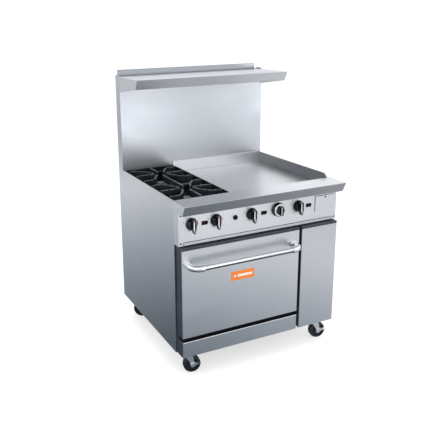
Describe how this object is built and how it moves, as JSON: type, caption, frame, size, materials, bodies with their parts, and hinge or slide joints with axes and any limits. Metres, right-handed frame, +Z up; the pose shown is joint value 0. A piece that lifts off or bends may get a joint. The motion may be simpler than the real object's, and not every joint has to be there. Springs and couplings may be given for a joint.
{
  "type": "commercial gas range",
  "caption": "Free-standing commercial gas range with open burners, griddle, drop-door oven, backguard with high shelf and swivel casters.",
  "frame": {"origin": "middle of the overall footprint, on the floor", "axes": "+Z up, -Y towards the front of the range, +X to the right of a person facing it"},
  "size_m": [0.914, 0.93, 1.474],
  "materials": {
    "stainless": "brushed",
    "door_bar": "satin polished",
    "chrome_trim": "polished",
    "wire_chrome": "bright plated",
    "black_frame": "black enamel",
    "cast_iron": "black seasoned",
    "griddle_steel": "ground and polished",
    "burner_steel": "dark enamel",
    "brass_fitting": "satin",
    "zinc_plate": "zinc plated",
    "black_plastic": "semi-gloss",
    "gasket": "matte",
    "orange_plate": "satin",
    "wheel_rubber": "satin"
  },
  "bodies": {
    "range_body": {"base_frame": "black_frame", "left_side_panel": "stainless", "right_side_panel": "stainless", "back_panel": "stainless", "front_frame": "black_frame", "cooktop_frame": "stainless", "front_ledge": "stainless", "control_panel": "stainless", "right_front_panel": "stainless", "kick_panel": "stainless", "riser_front": "stainless", "riser_back": "stainless", "high_shelf": "stainless", "burner_box": "black_frame", "open_burners": "cast_iron", "griddle_plate": "griddle_steel", "griddle_splash": "stainless", "griddle_burners": "burner_steel", "grease_trough": "stainless", "oven_liner": "burner_steel", "oven_hearth": "burner_steel", "oven_burner": "burner_steel", "rack_guides": "wire_chrome", "oven_racks": "wire_chrome", "gas_manifold": "black_frame", "gas_inlet_pipe": "zinc_plate", "gas_valves": "brass_fitting", "thermostat_body": "zinc_plate", "piezo_igniter": "black_plastic", "tray_runners": "black_frame", "hinge_pins": "zinc_plate", "panel_screws": "zinc_plate", "caster_plates": "zinc_plate"},
    "oven_door": {"door_shell": "stainless", "door_liner": "stainless", "door_gasket": "gasket", "door_handle": "door_bar", "handle_elbows": "chrome_trim", "door_badge": "orange_plate", "door_hinge_blocks": "zinc_plate"},
    "front_grate": {"grate_front": "cast_iron"},
    "rear_grate": {"grate_rear": "cast_iron"},
    "tray": {"crumb_tray": "stainless"},
    "drawer": {"grease_drawer": "stainless"},
    "knob_1_body": {"knob_1": "black_plastic"},
    "knob_2_body": {"knob_2": "black_plastic"},
    "knob_3_body": {"knob_3": "black_plastic"},
    "knob_4_body": {"knob_4": "black_plastic"},
    "thermostat_dial": {"thermostat_knob": "black_plastic"},
    "button": {"igniter_button": "black_plastic"},
    "caster_front_left": {"fork_front_left": "zinc_plate"},
    "roller_front_left": {"wheel_front_left": "wheel_rubber"},
    "brake_left": {"brake_pedal_left": "zinc_plate"},
    "caster_front_right": {"fork_front_right": "zinc_plate"},
    "roller_front_right": {"wheel_front_right": "wheel_rubber"},
    "brake_right": {"brake_pedal_right": "zinc_plate"},
    "caster_rear_left": {"fork_rear_left": "zinc_plate"},
    "roller_rear_left": {"wheel_rear_left": "wheel_rubber"},
    "caster_rear_right": {"fork_rear_right": "zinc_plate"},
    "roller_rear_right": {"wheel_rear_right": "wheel_rubber"}
  },
  "joints": [
    {"name": "oven_door_hinge", "type": "hinge", "parent": "range_body", "child": "oven_door", "pos_m": [-0.1165, -0.369, 0.258], "axis": [1, 0, 0], "range_deg": [0, 90], "stiffness_Nm_per_rad": 12, "springref_deg": -22.92},
    {"name": "front_grate_lift", "type": "slide", "parent": "range_body", "child": "front_grate", "axis": [0, 0, 1], "range_m": [0, 0.2]},
    {"name": "rear_grate_lift", "type": "slide", "parent": "range_body", "child": "rear_grate", "axis": [0, 0, 1], "range_m": [0, 0.2]},
    {"name": "crumb_tray_slide", "type": "slide", "parent": "range_body", "child": "tray", "axis": [0, -1, 0], "range_m": [0, 0.55]},
    {"name": "grease_drawer_slide", "type": "slide", "parent": "range_body", "child": "drawer", "axis": [0, -1, 0], "range_m": [0, 0.24]},
    {"name": "knob_1_turn", "type": "hinge", "parent": "range_body", "child": "knob_1_body", "pos_m": [-0.388, -0.37, 0.808], "axis": [0, -1, 0], "range_deg": [0, 180]},
    {"name": "knob_2_turn", "type": "hinge", "parent": "range_body", "child": "knob_2_body", "pos_m": [-0.258, -0.37, 0.808], "axis": [0, -1, 0], "range_deg": [0, 180]},
    {"name": "knob_3_turn", "type": "hinge", "parent": "range_body", "child": "knob_3_body", "pos_m": [-0.06, -0.37, 0.808], "axis": [0, -1, 0], "range_deg": [0, 180]},
    {"name": "knob_4_turn", "type": "hinge", "parent": "range_body", "child": "knob_4_body", "pos_m": [0.216, -0.37, 0.808], "axis": [0, -1, 0], "range_deg": [0, 180]},
    {"name": "thermostat_turn", "type": "hinge", "parent": "range_body", "child": "thermostat_dial", "pos_m": [0.094, -0.37, 0.808], "axis": [0, -1, 0], "range_deg": [0, 270]},
    {"name": "igniter_press", "type": "slide", "parent": "range_body", "child": "button", "axis": [0, 1, 0], "range_m": [0, 0.006], "stiffness_N_per_m": 600, "springref_m": -0.002},
    {"name": "swivel_front_left", "type": "hinge", "parent": "range_body", "child": "caster_front_left", "pos_m": [-0.39, -0.313, 0.112], "axis": [0, 0, 1], "continuous": true},
    {"name": "spin_front_left", "type": "hinge", "parent": "caster_front_left", "child": "roller_front_left", "pos_m": [-0.37044, -0.31716, 0.045], "axis": [0.2079, 0.9781, 0], "continuous": true},
    {"name": "brake_left_press", "type": "hinge", "parent": "caster_front_left", "child": "brake_left", "pos_m": [-0.37044, -0.31716, 0.045], "axis": [0.2079, 0.9781, 0], "range_deg": [0, 14]},
    {"name": "swivel_front_right", "type": "hinge", "parent": "range_body", "child": "caster_front_right", "pos_m": [0.39, -0.313, 0.112], "axis": [0, 0, 1], "continuous": true},
    {"name": "spin_front_right", "type": "hinge", "parent": "caster_front_right", "child": "roller_front_right", "pos_m": [0.40956, -0.31716, 0.045], "axis": [0.2079, 0.9781, 0], "continuous": true},
    {"name": "brake_right_press", "type": "hinge", "parent": "caster_front_right", "child": "brake_right", "pos_m": [0.40956, -0.31716, 0.045], "axis": [0.2079, 0.9781, 0], "range_deg": [0, 14]},
    {"name": "swivel_rear_left", "type": "hinge", "parent": "range_body", "child": "caster_rear_left", "pos_m": [-0.39, 0.369, 0.112], "axis": [0, 0, 1], "continuous": true},
    {"name": "spin_rear_left", "type": "hinge", "parent": "caster_rear_left", "child": "roller_rear_left", "pos_m": [-0.37468, 0.35614, 0.045], "axis": [0.6428, 0.766, 0], "continuous": true},
    {"name": "swivel_rear_right", "type": "hinge", "parent": "range_body", "child": "caster_rear_right", "pos_m": [0.39, 0.369, 0.112], "axis": [0, 0, 1], "continuous": true},
    {"name": "spin_rear_right", "type": "hinge", "parent": "caster_rear_right", "child": "roller_rear_right", "pos_m": [0.40532, 0.35614, 0.045], "axis": [0.6428, 0.766, 0], "continuous": true}
  ]
}
